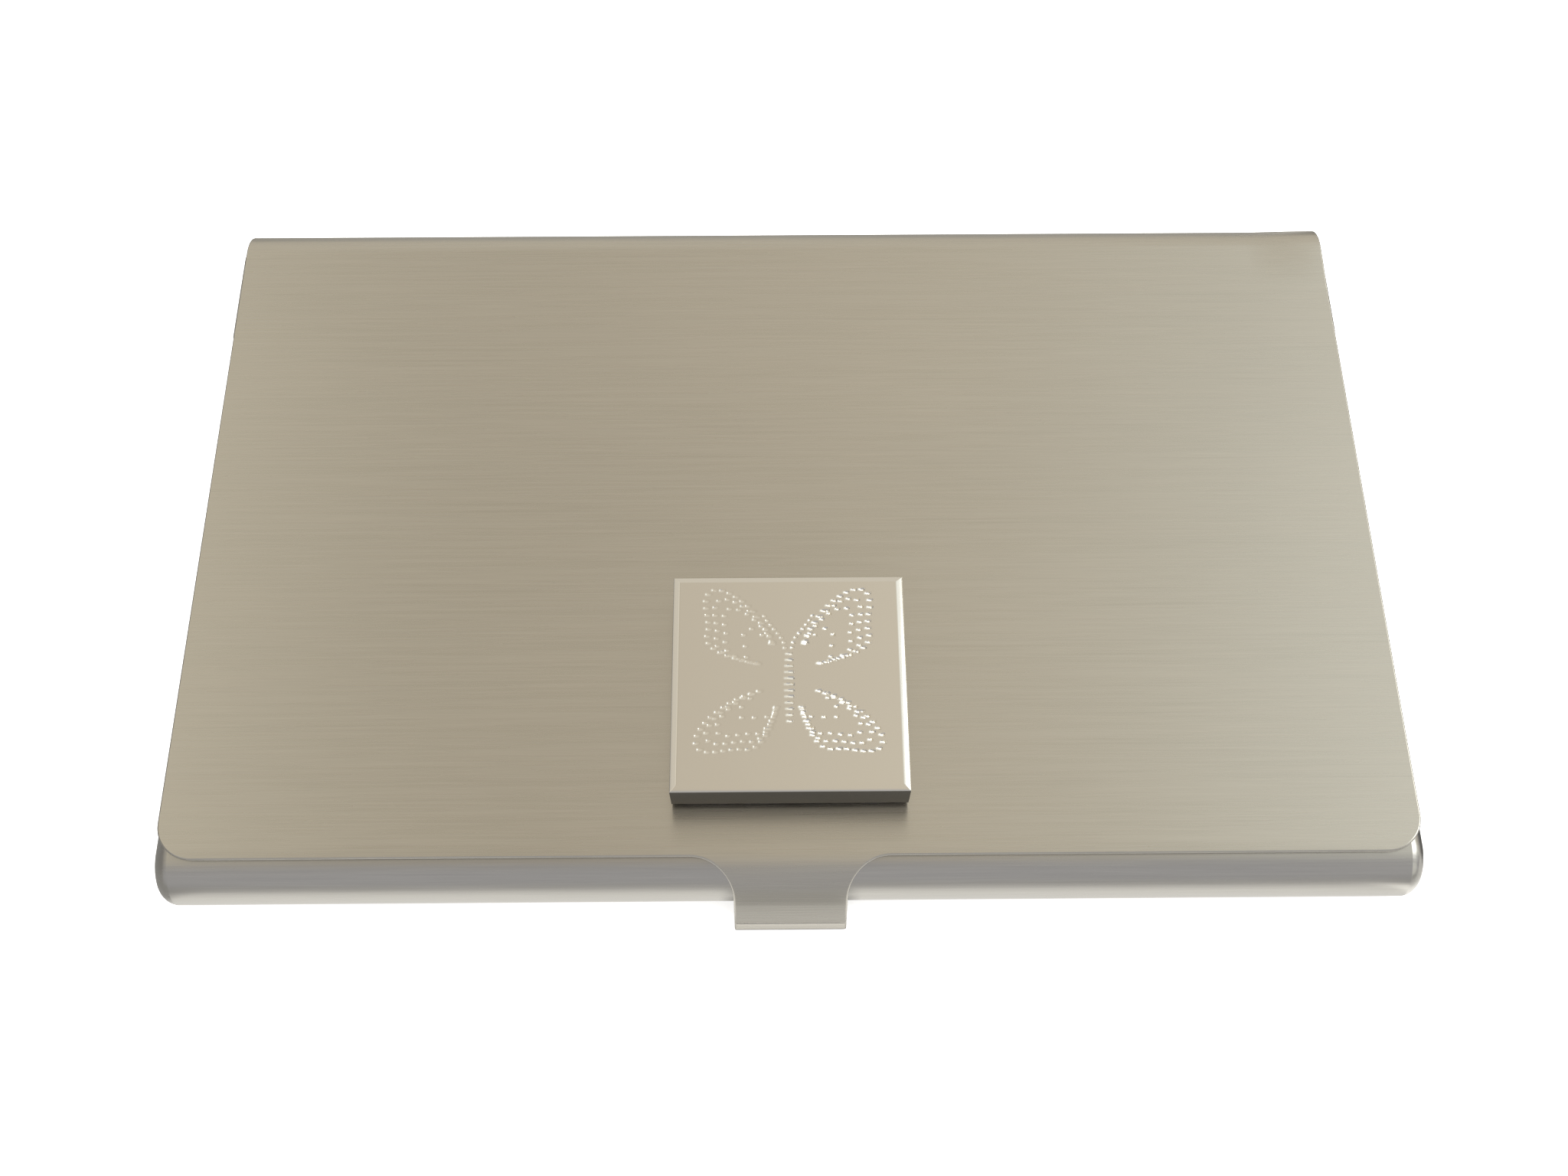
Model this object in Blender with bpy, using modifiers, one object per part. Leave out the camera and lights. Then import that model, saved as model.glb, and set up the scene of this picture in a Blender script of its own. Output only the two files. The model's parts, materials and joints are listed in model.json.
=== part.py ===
"""A slim metal business card case: tray, hinged lid, card lifter, two rivets and a glued-on tile.

The case lies closed and flat. +X runs along its long side, +Y towards the hinge, +Z up, and the
latch tab is at -Y. The origin is the centre of the flat underside. The tray, the lid and the
lifter are pressed from thin steel sheet, and turn on the two rivets at the rear.
"""
from math import asin, cos, pi, radians, sin

import bmesh
import bpy
from mathutils import Vector

MM = 0.001

# Driving dimensions of the closed case
CASE_DEPTH = 60.4 * MM          # front of the roll to back of the hinge curl
TRAY_WIDTH = 94.0 * MM
TRAY_HEIGHT = 6.2 * MM
LID_WIDTH = 92.8 * MM
LID_TOP_Z = 7.0 * MM

# Tray sheet
TRAY_SHEET = 0.4 * MM
TRAY_RIM_RADIUS = 1.2 * MM      # rounding where roll, floor and lips meet the side walls
LIP_WIDTH = 1.6 * MM            # how far the side walls turn in over the cards
ROLL_OPEN_SETBACK = 2.45 * MM   # front of the roll to its free edge
FLOOR_END_GAP = 1.9 * MM        # hinge axis to the rear edge of the floor
EAR_RADIUS = 2.2 * MM           # rounded rear end of the side walls
EAR_LENGTH = 8.0 * MM           # stretch of plain side wall in front of the hinge axis

# Lid sheet
LID_SHEET = 0.5 * MM
LID_SETBACK = 2.0 * MM          # front of the roll to the lid's front edge
LID_CORNER_RADIUS = 2.8 * MM
TAB_WIDTH = 8.4 * MM
TAB_NECK_RADIUS = 3.0 * MM
TAB_CORNER_RADIUS = 0.4 * MM
TAB_BEND_RADIUS = 4.0 * MM      # outside radius of the bend over the roll
TAB_BEND_DEG = 85.0
TAB_STRAIGHT = 2.85 * MM
CURL_RADIUS = 3.4 * MM          # outside radius of the hinge curl
CURL_DEG = 200.0
CURL_END_DEG = 75.0             # the curl stops here at the lid's two ends
CURL_END_WIDTH = 1.8 * MM
CURL_END_RADIUS = 1.6 * MM
LID_EAR_INSET = 0.1 * MM
LID_EAR_RADIUS = 2.5 * MM
PICKUP_RADIUS = 0.25 * MM       # pip on the lid's ear that lifts the card lifter
PICKUP_ORBIT = 2.2 * MM

# Card lifter
LIFTER_SHEET = 0.4 * MM
LIFTER_WIDTH = 89.8 * MM
LIFTER_UNDERSIDE_Z = 0.7 * MM
LIFTER_FRONT_Y = -25.0 * MM
LIFTER_REAR_GAP = 3.0 * MM      # hinge axis to the plate's rear edge
LIFTER_CORNER_RADIUS = 2.5 * MM
THUMB_NOTCH_RADIUS = 9.0 * MM
THUMB_NOTCH_DEPTH = 5.0 * MM
ARM_OUTSIDE_X = 45.6 * MM
ARM_DISC_RADIUS = 1.9 * MM
ARM_FOOT_LENGTH = 4.0 * MM
ARM_SINK = 0.1 * MM             # how far the arms stand inside the plate's edges

# Rivets, one at each end of the hinge axis
RIVET_RADIUS = 0.75 * MM
RIVET_HOLE_RADIUS = 0.85 * MM
RIVET_HEAD_RADIUS = 1.4 * MM
RIVET_HEAD_HEIGHT = 0.45 * MM
RIVET_TAIL_RADIUS = 1.15 * MM
RIVET_TAIL_HEIGHT = 0.25 * MM
RIVET_PLAY = 0.1 * MM

# Square tile and the glue under it
TILE_SIZE = 17.5 * MM
TILE_THICKNESS = 2.7 * MM
TILE_TAPER = 0.05 * MM
TILE_RIM_RADIUS = 0.45 * MM
TILE_SETBACK = 3.8 * MM         # lid's front edge to the tile
GLUE_THICKNESS = 0.5 * MM
GLUE_INSET = 0.1 * MM
GLUE_GAP = 0.05 * MM

# Worked out from the above
FRONT_Y = -CASE_DEPTH / 2
ROLL_RADIUS = TRAY_HEIGHT / 2
ROLL_Y = FRONT_Y + ROLL_RADIUS
LID_FRONT_Y = FRONT_Y + LID_SETBACK
HINGE_Y = CASE_DEPTH / 2 - CURL_RADIUS
HINGE_Z = LID_TOP_Z - CURL_RADIUS
WALL_INSIDE_X = TRAY_WIDTH / 2 - TRAY_SHEET
FLOOR_END_Y = HINGE_Y - FLOOR_END_GAP
PLAIN_WALL_Y = HINGE_Y - EAR_LENGTH
LID_EAR_OUTSIDE_X = LID_WIDTH / 2 - LID_EAR_INSET
LID_EAR_SHEET = TRAY_SHEET
CUT_ROOM = 5.0 * MM             # how far a cutter reaches past what it cuts
WELD_DISTANCE = 0.001 * MM

ARC_STEP_DEG = 11.25
STEEL = (0.62, 0.60, 0.55)


def clear_scene():
    """Empty the scene and its leftover collections."""
    for obj in list(bpy.data.objects):
        bpy.data.objects.remove(obj, do_unlink=True)
    for collection in list(bpy.data.collections):
        bpy.data.collections.remove(collection)


def add_collection(name):
    collection = bpy.data.collections.new(name)
    bpy.context.scene.collection.children.link(collection)
    return collection


def add_material(name, colour, metallic, roughness):
    """A Principled material for one piece."""
    material = bpy.data.materials.new(name)
    material.use_nodes = True
    shader = material.node_tree.nodes["Principled BSDF"]
    shader.inputs["Base Color"].default_value = (*colour, 1.0)
    shader.inputs["Metallic"].default_value = metallic
    shader.inputs["Roughness"].default_value = roughness
    return material


def arc(centre, radius, start_deg, end_deg):
    """Points along an arc, both ends included. Angles run from the first axis to the second."""
    count = max(2, round(abs(end_deg - start_deg) / ARC_STEP_DEG))
    points = []
    for i in range(count + 1):
        angle = radians(start_deg + (end_deg - start_deg) * i / count)
        points.append((centre[0] + radius * cos(angle), centre[1] + radius * sin(angle)))
    return points


def plate_mesh(name, outline, thickness, whole_faces=False, open_middle=False):
    """A flat plate in the XY plane, centred on z = 0, made from a filled 2D curve.

    whole_faces keeps each flat side as one face, for a bevel. Otherwise it stays in
    triangles, which cut and bend cleanly. open_middle leaves out the faces at x = 0, for a
    half that is mirrored.
    """
    curve = bpy.data.curves.new(name, "CURVE")
    curve.dimensions = "2D"
    curve.fill_mode = "BOTH"
    curve.extrude = thickness / 2
    spline = curve.splines.new("POLY")
    spline.points.add(len(outline) - 1)
    for point, (x, y) in zip(spline.points, outline):
        point.co = (x, y, 0.0, 1.0)
    spline.use_cyclic_u = True
    drawn = bpy.data.objects.new(name, curve)
    bpy.context.scene.collection.objects.link(drawn)
    evaluated = drawn.evaluated_get(bpy.context.evaluated_depsgraph_get())
    mesh = bpy.data.meshes.new_from_object(evaluated)
    bpy.data.objects.remove(drawn)
    bpy.data.curves.remove(curve)

    bm = bmesh.new()
    bm.from_mesh(mesh)
    bmesh.ops.remove_doubles(bm, verts=bm.verts, dist=WELD_DISTANCE)
    if whole_faces:
        bmesh.ops.dissolve_limit(bm, angle_limit=radians(0.5), verts=bm.verts, edges=bm.edges)
    bmesh.ops.recalc_face_normals(bm, faces=bm.faces)
    if open_middle:
        middle = [f for f in bm.faces if max(abs(v.co.x) for v in f.verts) < WELD_DISTANCE]
        bmesh.ops.delete(bm, geom=middle, context="FACES_ONLY")
    bm.to_mesh(mesh)
    bm.free()
    mesh.name = name
    return mesh


def place(name, mesh, collection, material=None, location=(0, 0, 0), on_side=False):
    """Link a mesh as an object. on_side stands its XY outline up in the YZ plane."""
    obj = bpy.data.objects.new(name, mesh)
    obj.location = location
    if on_side:
        obj.rotation_euler = (pi / 2, 0, pi / 2)
    if material:
        mesh.materials.clear()
        mesh.materials.append(material)
    mesh.shade_smooth()
    mesh.set_sharp_from_angle(angle=radians(30))
    collection.objects.link(obj)
    return obj


def box_cutter(name, low, high):
    """A cutter that fills the box between two corners."""
    low, high = Vector(low), Vector(high)
    bm = bmesh.new()
    bmesh.ops.create_cube(bm, size=1.0)
    for vert in bm.verts:
        vert.co = Vector(((v + 0.5) * (b - a) + a for v, a, b in zip(vert.co, low, high)))
    mesh = bpy.data.meshes.new(name)
    bm.to_mesh(mesh)
    bm.free()
    return as_cutter(place(name, mesh, CUTTERS))


def hinge_hole_cutter():
    """A rod along the hinge axis that bores every rivet hole."""
    bm = bmesh.new()
    bmesh.ops.create_cone(bm, cap_ends=True, segments=32, radius1=RIVET_HOLE_RADIUS,
                          radius2=RIVET_HOLE_RADIUS, depth=TRAY_WIDTH + 2 * CUT_ROOM)
    mesh = bpy.data.meshes.new("rivet_hole_cutter")
    bm.to_mesh(mesh)
    bm.free()
    rod = place("rivet_hole_cutter", mesh, CUTTERS, location=(0, HINGE_Y, HINGE_Z), on_side=True)
    return as_cutter(rod)


def as_cutter(obj):
    obj.hide_render = True
    obj.display_type = "WIRE"
    return obj


def boolean(obj, other, operation):
    modifier = obj.modifiers.new(f"{operation.lower()}_{other.name}", "BOOLEAN")
    modifier.operation = operation
    modifier.object = other
    modifier.solver = "EXACT"


def add_mirror(obj):
    """Complete a right half that is open at x = 0."""
    modifier = obj.modifiers.new("left_half", "MIRROR")
    modifier.use_clip = True
    modifier.merge_threshold = WELD_DISTANCE


def add_bevel(obj, width, segments, angle_deg=60.0):
    modifier = obj.modifiers.new("rounded_edges", "BEVEL")
    modifier.width = width
    modifier.segments = segments
    modifier.limit_method = "ANGLE"
    modifier.angle_limit = radians(angle_deg)


def tray_form(name, inset, collection, material=None):
    """The pressed form of the tray: flat bars behind a half-round nose, with a rounded rim."""
    radius = ROLL_RADIUS - inset
    rear = HINGE_Y + CUT_ROOM + inset
    outline = arc((ROLL_Y, ROLL_RADIUS), radius, 90, 270)
    outline += [(rear, inset), (rear, TRAY_HEIGHT - inset)]
    mesh = plate_mesh(name, outline, TRAY_WIDTH - 2 * inset, whole_faces=True)
    form = place(name, mesh, collection, material, on_side=True)
    add_bevel(form, TRAY_RIM_RADIUS - inset, 4)
    return form


def tray_ear(side):
    """The plain stretch of side wall that carries a rivet."""
    outline = arc((HINGE_Y, HINGE_Z), EAR_RADIUS, -90, 90)
    outline += [(PLAIN_WALL_Y, HINGE_Z + EAR_RADIUS), (PLAIN_WALL_Y, TRAY_RIM_RADIUS)]
    outline += [(HINGE_Y - EAR_RADIUS, TRAY_RIM_RADIUS)]
    mesh = plate_mesh("tray_ear", outline, TRAY_SHEET)
    x = side * (TRAY_WIDTH / 2 - TRAY_SHEET / 2)
    return as_cutter(place(f"tray_ear_{side:+d}", mesh, CUTTERS, location=(x, 0, 0), on_side=True))


def build_tray(hinge_hole):
    material = add_material("base_tray", STEEL, 1.0, 0.34)
    tray = tray_form("base_tray", 0.0, MODEL, material)
    boolean(tray, as_cutter(tray_form("tray_hollow", TRAY_SHEET, CUTTERS)), "DIFFERENCE")
    mouth_x = TRAY_WIDTH / 2 - LIP_WIDTH
    above = TRAY_HEIGHT + CUT_ROOM
    behind = HINGE_Y + 3 * CUT_ROOM
    mouth = box_cutter("tray_mouth", (-mouth_x, FRONT_Y + ROLL_OPEN_SETBACK, ROLL_RADIUS),
                       (mouth_x, behind, above))
    boolean(tray, mouth, "DIFFERENCE")
    lips = box_cutter("lip_relief", (-WALL_INSIDE_X, PLAIN_WALL_Y, ROLL_RADIUS),
                      (WALL_INSIDE_X, behind, above))
    boolean(tray, lips, "DIFFERENCE")
    rear = box_cutter("tray_rear_trim", (-TRAY_WIDTH, FLOOR_END_Y, -CUT_ROOM),
                      (TRAY_WIDTH, behind, above))
    boolean(tray, rear, "DIFFERENCE")
    for side in (-1, 1):
        boolean(tray, tray_ear(side), "UNION")
    boolean(tray, hinge_hole, "DIFFERENCE")
    return tray


def lid_blank_outline(front, tab_end, end_strip, curl_end):
    """Right half of the flat blank, as (x, distance along the sheet), front to back."""
    edge = LID_WIDTH / 2
    tab = TAB_WIDTH / 2
    notch = edge - CURL_END_WIDTH
    corner, neck = LID_CORNER_RADIUS, TAB_NECK_RADIUS
    tab_corner = (tab - TAB_CORNER_RADIUS, tab_end + TAB_CORNER_RADIUS)
    outline = [(0.0, tab_end)]
    outline += arc(tab_corner, TAB_CORNER_RADIUS, -90, 0)
    outline += arc((tab + neck, front - neck), neck, 180, 90)
    outline += arc((edge - corner, front + corner), corner, -90, 0)
    outline += arc((edge - CURL_END_RADIUS, end_strip - CURL_END_RADIUS), CURL_END_RADIUS, 0, 90)
    return outline + [(notch, end_strip), (notch, curl_end), (0.0, curl_end)]


def bent_point(x, s, lift):
    """Where a point of the flat blank goes: s along the mid-surface, lift above it."""
    front_mid = TAB_BEND_RADIUS - LID_SHEET / 2
    rear_mid = CURL_RADIUS - LID_SHEET / 2
    flat_length = HINGE_Y - ROLL_Y
    front_z = LID_TOP_Z - TAB_BEND_RADIUS
    if s < 0:
        turn = min(-s / front_mid, radians(TAB_BEND_DEG))
        straight = -s - turn * front_mid
        reach = front_mid + lift
        y = ROLL_Y - reach * sin(turn) - straight * cos(turn)
        return Vector((x, y, front_z + reach * cos(turn) - straight * sin(turn)))
    if s > flat_length:
        turn = (s - flat_length) / rear_mid
        reach = rear_mid + lift
        return Vector((x, HINGE_Y + reach * sin(turn), HINGE_Z + reach * cos(turn)))
    return Vector((x, ROLL_Y + s, LID_TOP_Z - LID_SHEET / 2 + lift))


def lid_sheet_mesh():
    """The lid's blank, scored across at every bend step, then bent."""
    front_mid = TAB_BEND_RADIUS - LID_SHEET / 2
    rear_mid = CURL_RADIUS - LID_SHEET / 2
    flat_length = HINGE_Y - ROLL_Y
    front = -front_mid * asin((ROLL_Y - LID_FRONT_Y) / TAB_BEND_RADIUS)
    tab_end = -front_mid * radians(TAB_BEND_DEG) - TAB_STRAIGHT
    end_strip = flat_length + rear_mid * radians(CURL_END_DEG)
    curl_end = flat_length + rear_mid * radians(CURL_DEG)
    outline = lid_blank_outline(front, tab_end, end_strip, curl_end)
    mesh = plate_mesh("lid", outline, LID_SHEET, open_middle=True)

    front_steps = round(TAB_BEND_DEG / ARC_STEP_DEG)
    rear_steps = round(CURL_DEG / ARC_STEP_DEG)
    scores = {round(s, 7) for _, s in outline if s < 0 or s > flat_length}
    scores |= {-front_mid * radians(TAB_BEND_DEG) * i / front_steps for i in range(front_steps + 1)}
    scores |= {flat_length + rear_mid * radians(CURL_DEG) * i / rear_steps
               for i in range(rear_steps)}
    bm = bmesh.new()
    bm.from_mesh(mesh)
    for s in sorted(scores):
        everything = bm.verts[:] + bm.edges[:] + bm.faces[:]
        bmesh.ops.bisect_plane(bm, geom=everything, dist=0.01 * MM, plane_co=(0, s, 0),
                               plane_no=(0, 1, 0))
    for vert in bm.verts:
        vert.co = bent_point(*vert.co)
    bm.to_mesh(mesh)
    bm.free()
    return mesh


def lid_ear(side):
    """The lug under the lid's corner that turns on the rivet."""
    top = LID_TOP_Z - 0.8 * LID_SHEET
    outline = [(HINGE_Y - LID_EAR_RADIUS, top)]
    outline += arc((HINGE_Y, HINGE_Z), LID_EAR_RADIUS, 180, 450)
    outline += [(HINGE_Y, top)]
    mesh = plate_mesh("lid_ear", outline, LID_EAR_SHEET)
    x = side * (LID_EAR_OUTSIDE_X - LID_EAR_SHEET / 2)
    return as_cutter(place(f"lid_ear_{side:+d}", mesh, CUTTERS, location=(x, 0, 0), on_side=True))


def pickup_pip(side):
    """A pip pressed inwards from the lid's ear, which meets the lifter's arm near full opening."""
    outer_x = LID_EAR_OUTSIDE_X - LID_EAR_SHEET / 2
    inner_x = ARM_OUTSIDE_X - LIFTER_SHEET
    bm = bmesh.new()
    bmesh.ops.create_cone(bm, cap_ends=True, segments=16, radius1=PICKUP_RADIUS,
                          radius2=PICKUP_RADIUS, depth=outer_x - inner_x)
    mesh = bpy.data.meshes.new("pickup_pip")
    bm.to_mesh(mesh)
    bm.free()
    location = (side * (outer_x + inner_x) / 2, HINGE_Y + PICKUP_ORBIT, HINGE_Z)
    pip = place(f"pickup_pip_{side:+d}", mesh, CUTTERS, location=location, on_side=True)
    return as_cutter(pip)


def build_lid(hinge_hole):
    material = add_material("lid", STEEL, 1.0, 0.34)
    lid = place("lid", lid_sheet_mesh(), MODEL, material)
    add_mirror(lid)
    for side in (-1, 1):
        boolean(lid, lid_ear(side), "UNION")
        boolean(lid, pickup_pip(side), "UNION")
    boolean(lid, hinge_hole, "DIFFERENCE")
    return lid


def lifter_outline():
    """Right half of the lifter's plate, with a thumb notch in its front edge."""
    side, front = LIFTER_WIDTH / 2, LIFTER_FRONT_Y
    rear = HINGE_Y - LIFTER_REAR_GAP
    foot_front = rear - ARM_FOOT_LENGTH
    corner = LIFTER_CORNER_RADIUS
    notch_y = front + THUMB_NOTCH_DEPTH - THUMB_NOTCH_RADIUS
    half_deg = 90 - asin((front - notch_y) / THUMB_NOTCH_RADIUS) * 180 / pi
    foot_x = ARM_OUTSIDE_X - ARM_SINK
    outline = arc((0.0, notch_y), THUMB_NOTCH_RADIUS, 90, 90 - half_deg)
    outline += arc((side - corner, front + corner), corner, -90, 0)
    return outline + [(side, foot_front), (foot_x, foot_front), (foot_x, rear), (0.0, rear)]


def lifter_arm(side):
    """The upright arm from the plate to the rivet."""
    foot_rear = HINGE_Y - LIFTER_REAR_GAP - ARM_SINK
    foot_front = foot_rear - ARM_FOOT_LENGTH + 2 * ARM_SINK
    foot_z = LIFTER_UNDERSIDE_Z + ARM_SINK
    outline = arc((HINGE_Y, HINGE_Z), ARM_DISC_RADIUS, -70, 135)
    outline += [(foot_front, foot_z + LIFTER_SHEET), (foot_front, foot_z), (foot_rear, foot_z)]
    mesh = plate_mesh("lifter_arm", outline, LIFTER_SHEET)
    x = side * (ARM_OUTSIDE_X - LIFTER_SHEET / 2)
    return as_cutter(place(f"lifter_arm_{side:+d}", mesh, CUTTERS, location=(x, 0, 0), on_side=True))


def build_lifter(hinge_hole):
    material = add_material("card_lifter", (0.60, 0.59, 0.56), 1.0, 0.30)
    mesh = plate_mesh("card_lifter", lifter_outline(), LIFTER_SHEET, open_middle=True)
    middle_z = LIFTER_UNDERSIDE_Z + LIFTER_SHEET / 2
    lifter = place("card_lifter", mesh, MODEL, material, location=(0, 0, middle_z))
    add_mirror(lifter)
    for side in (-1, 1):
        boolean(lifter, lifter_arm(side), "UNION")
    boolean(lifter, hinge_hole, "DIFFERENCE")
    return lifter


def rivet_profile():
    """Half section of a rivet along its axis, from the domed head down to the clenched tail."""
    wall = TRAY_WIDTH / 2 + RIVET_PLAY
    sphere = (RIVET_HEAD_RADIUS ** 2 + RIVET_HEAD_HEIGHT ** 2) / (2 * RIVET_HEAD_HEIGHT)
    half_deg = asin(RIVET_HEAD_RADIUS / sphere) * 180 / pi
    dome = arc((0.0, wall + RIVET_HEAD_HEIGHT - sphere), sphere, 90, 90 - half_deg)
    tail = ARM_OUTSIDE_X - LIFTER_SHEET - RIVET_PLAY
    shank = [(RIVET_RADIUS, wall), (RIVET_RADIUS, tail), (RIVET_TAIL_RADIUS, tail)]
    return dome + shank + [(RIVET_TAIL_RADIUS, tail - RIVET_TAIL_HEIGHT), (0.0, tail - RIVET_TAIL_HEIGHT)]


def build_rivet(name, side, material):
    """One rivet: its half section turned about the hinge axis."""
    mesh = bpy.data.meshes.new(name)
    bm = bmesh.new()
    verts = [bm.verts.new((r, 0.0, h)) for r, h in rivet_profile()]
    for a, b in zip(verts, verts[1:]):
        bm.edges.new((a, b))
    bm.to_mesh(mesh)
    bm.free()
    rivet = place(name, mesh, MODEL, material, location=(0, HINGE_Y, HINGE_Z))
    rivet.rotation_euler = (0, side * pi / 2, 0)
    screw = rivet.modifiers.new("turned", "SCREW")
    screw.axis = "Z"
    screw.steps = 32
    screw.render_steps = 32
    screw.use_merge_vertices = True
    screw.merge_threshold = WELD_DISTANCE
    return rivet


def slab_mesh(name, size, thickness, foot_inset=0.0):
    """A square slab on z = 0 whose foot may be narrower than its top."""
    bm = bmesh.new()
    bmesh.ops.create_cube(bm, size=1.0)
    for vert in bm.verts:
        width = size if vert.co.z > 0 else size - 2 * foot_inset
        vert.co = Vector((vert.co.x * width, vert.co.y * width, (vert.co.z + 0.5) * thickness))
    mesh = bpy.data.meshes.new(name)
    bm.to_mesh(mesh)
    bm.free()
    return mesh


def build_tile_and_glue():
    """The square tile and the glue pad that holds it on the lid."""
    centre_y = LID_FRONT_Y + TILE_SETBACK + TILE_SIZE / 2
    glue_size = TILE_SIZE - 2 * GLUE_INSET
    glue_material = add_material("adhesive_pad", (0.03, 0.028, 0.026), 0.0, 0.55)
    glue_mesh = slab_mesh("adhesive_pad", glue_size, GLUE_THICKNESS - 2 * GLUE_GAP)
    place("adhesive_pad", glue_mesh, MODEL, glue_material, (0, centre_y, LID_TOP_Z + GLUE_GAP))
    tile_material = add_material("pendant_tile", (0.80, 0.78, 0.73), 1.0, 0.12)
    tile_mesh = slab_mesh("pendant_tile", TILE_SIZE, TILE_THICKNESS, TILE_TAPER)
    foot_z = LID_TOP_Z + GLUE_THICKNESS
    tile = place("pendant_tile", tile_mesh, MODEL, tile_material, (0, centre_y, foot_z))
    add_bevel(tile, TILE_RIM_RADIUS, 3, 45.0)
    return tile


clear_scene()
MODEL = add_collection("business_card_case")
CUTTERS = add_collection("cutters")

hinge_rod = hinge_hole_cutter()
build_tray(hinge_rod)
build_lid(hinge_rod)
build_lifter(hinge_rod)
rivet_material = add_material("hinge_rivet", (0.66, 0.65, 0.62), 1.0, 0.22)
build_rivet("hinge_rivet_left", -1, rivet_material)
build_rivet("hinge_rivet_right", 1, rivet_material)
build_tile_and_glue()
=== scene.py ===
"""Looks of the business card case: fine sheet-metal meshes, finishes, floor, light and camera.

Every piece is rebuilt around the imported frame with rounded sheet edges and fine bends. Lengths
are in metres, in the frame's own axes: +X along the case, +Y to the hinge, +Z up.
"""
import json
from math import acos, asin, cos, degrees, pi, radians, sin

import bmesh
import bpy
import numpy as np
from mathutils import Matrix, Vector


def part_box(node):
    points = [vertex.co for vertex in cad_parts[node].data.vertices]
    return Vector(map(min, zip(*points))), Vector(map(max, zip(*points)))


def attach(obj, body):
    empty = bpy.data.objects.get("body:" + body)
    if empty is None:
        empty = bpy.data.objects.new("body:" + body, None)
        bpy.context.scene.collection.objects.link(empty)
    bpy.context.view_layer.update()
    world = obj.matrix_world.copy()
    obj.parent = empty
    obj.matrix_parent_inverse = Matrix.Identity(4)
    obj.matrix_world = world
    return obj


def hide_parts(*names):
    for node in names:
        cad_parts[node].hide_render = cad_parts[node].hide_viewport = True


MM = 0.001
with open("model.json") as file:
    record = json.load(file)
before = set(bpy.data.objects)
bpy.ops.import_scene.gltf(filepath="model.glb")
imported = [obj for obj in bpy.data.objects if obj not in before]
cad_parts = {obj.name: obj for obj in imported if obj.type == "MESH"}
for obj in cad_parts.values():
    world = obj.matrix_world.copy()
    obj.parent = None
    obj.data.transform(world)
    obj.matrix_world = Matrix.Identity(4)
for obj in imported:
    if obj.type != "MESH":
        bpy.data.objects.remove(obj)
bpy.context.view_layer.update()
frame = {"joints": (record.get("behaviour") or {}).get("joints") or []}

# Places and sizes that the frame gives
TRAY_LOW, TRAY_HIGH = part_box("base_tray")
LID_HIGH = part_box("lid")[1]
LIFTER_LOW, LIFTER_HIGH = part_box("card_lifter")
TILE_LOW, TILE_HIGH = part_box("pendant_tile")
GLUE_LOW, GLUE_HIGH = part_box("adhesive_pad")
RIVET_LOW, RIVET_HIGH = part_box("hinge_rivet_right")
HINGE = Vector(next(j["pos_m"] for j in frame["joints"] if j["name"] == "lid_hinge"))

# Tray sheet
TRAY_SHEET = 0.4 * MM
TRAY_RIM_RADIUS = 1.5 * MM
LIP_WIDTH = 1.7 * MM
ROLL_END_CREASE_DEG = 10.0      # where the roll stops and its rounded end begins
FLOOR_END_Y = HINGE.y - 1.9 * MM
PLAIN_WALL_Y = HINGE.y - 8.0 * MM
EAR_RADIUS = 2.2 * MM
EAR_FOOT_SLOPE = 0.4 * MM       # run of the slope from the floor's end up to the ear
ROLL_RADIUS = TRAY_HIGH.z / 2
ROLL_Y = TRAY_LOW.y + ROLL_RADIUS

# Lid sheet
LID_SHEET = 0.5 * MM
LID_SETBACK = 2.0 * MM
LID_EDGE_X = LID_HIGH.x + 0.15 * MM     # a hair wider than the frame's lid
LID_CORNER_RADIUS = 2.8 * MM
TAB_WIDTH = 8.4 * MM
TAB_NECK_RADIUS = 3.2 * MM
TAB_CORNER_RADIUS = 0.12 * MM
TAB_BEND_RADIUS = 4.0 * MM
TAB_BEND_DEG = 80.0
TAB_STRAIGHT = 3.4 * MM         # from the bend to the tab's end, lip included
TAB_LIP = 0.87 * MM             # last stretch of the tab, turned out a little
TAB_LIP_DEG = 68.0
TAB_CREASE_WIDTH = 0.16 * MM
TAB_CREASE_DEPTH = 0.06 * MM
LID_EDGE_RADIUS = 0.16 * MM
CORNER_LIFT = 0.2 * MM          # the rear right corner stands up a little
CORNER_LIFT_FROM_X = 40.0 * MM
CORNER_LIFT_LENGTH = 5.0 * MM
CURL_RADIUS = LID_HIGH.z - HINGE.z
CURL_DEG = 200.0
CURL_END_DEG = 75.0
CURL_END_WIDTH = 1.8 * MM
CURL_END_RADIUS = 1.4 * MM
CURL_NOTCH_CHAMFER = 0.15 * MM
CURL_TIP_RADIUS = 0.5 * MM
LID_EAR_SHEET = 0.4 * MM
LID_EAR_OUTSIDE_X = LID_HIGH.x - 0.1 * MM
LID_EAR_RADIUS = 2.5 * MM
LID_EAR_TOP = LID_HIGH.z - 0.6 * LID_SHEET
PICKUP_RADIUS = 0.25 * MM       # the pip on each ear
PICKUP_ORBIT = 2.2 * MM         # its distance from the hinge axis

# Card lifter
LIFTER_SHEET = 0.4 * MM
LIFTER_HALF_WIDTH = 44.9 * MM
LIFTER_REAR_Y = HINGE.y - 3.0 * MM
LIFTER_CORNER_RADIUS = 2.5 * MM
THUMB_NOTCH_RADIUS = 9.0 * MM
THUMB_NOTCH_DEPTH = 5.0 * MM
ARM_DISC_RADIUS = 1.9 * MM
ARM_FOOT_LENGTH = 4.0 * MM
ARM_SINK = 0.1 * MM             # how far an arm's foot runs into the plate

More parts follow.
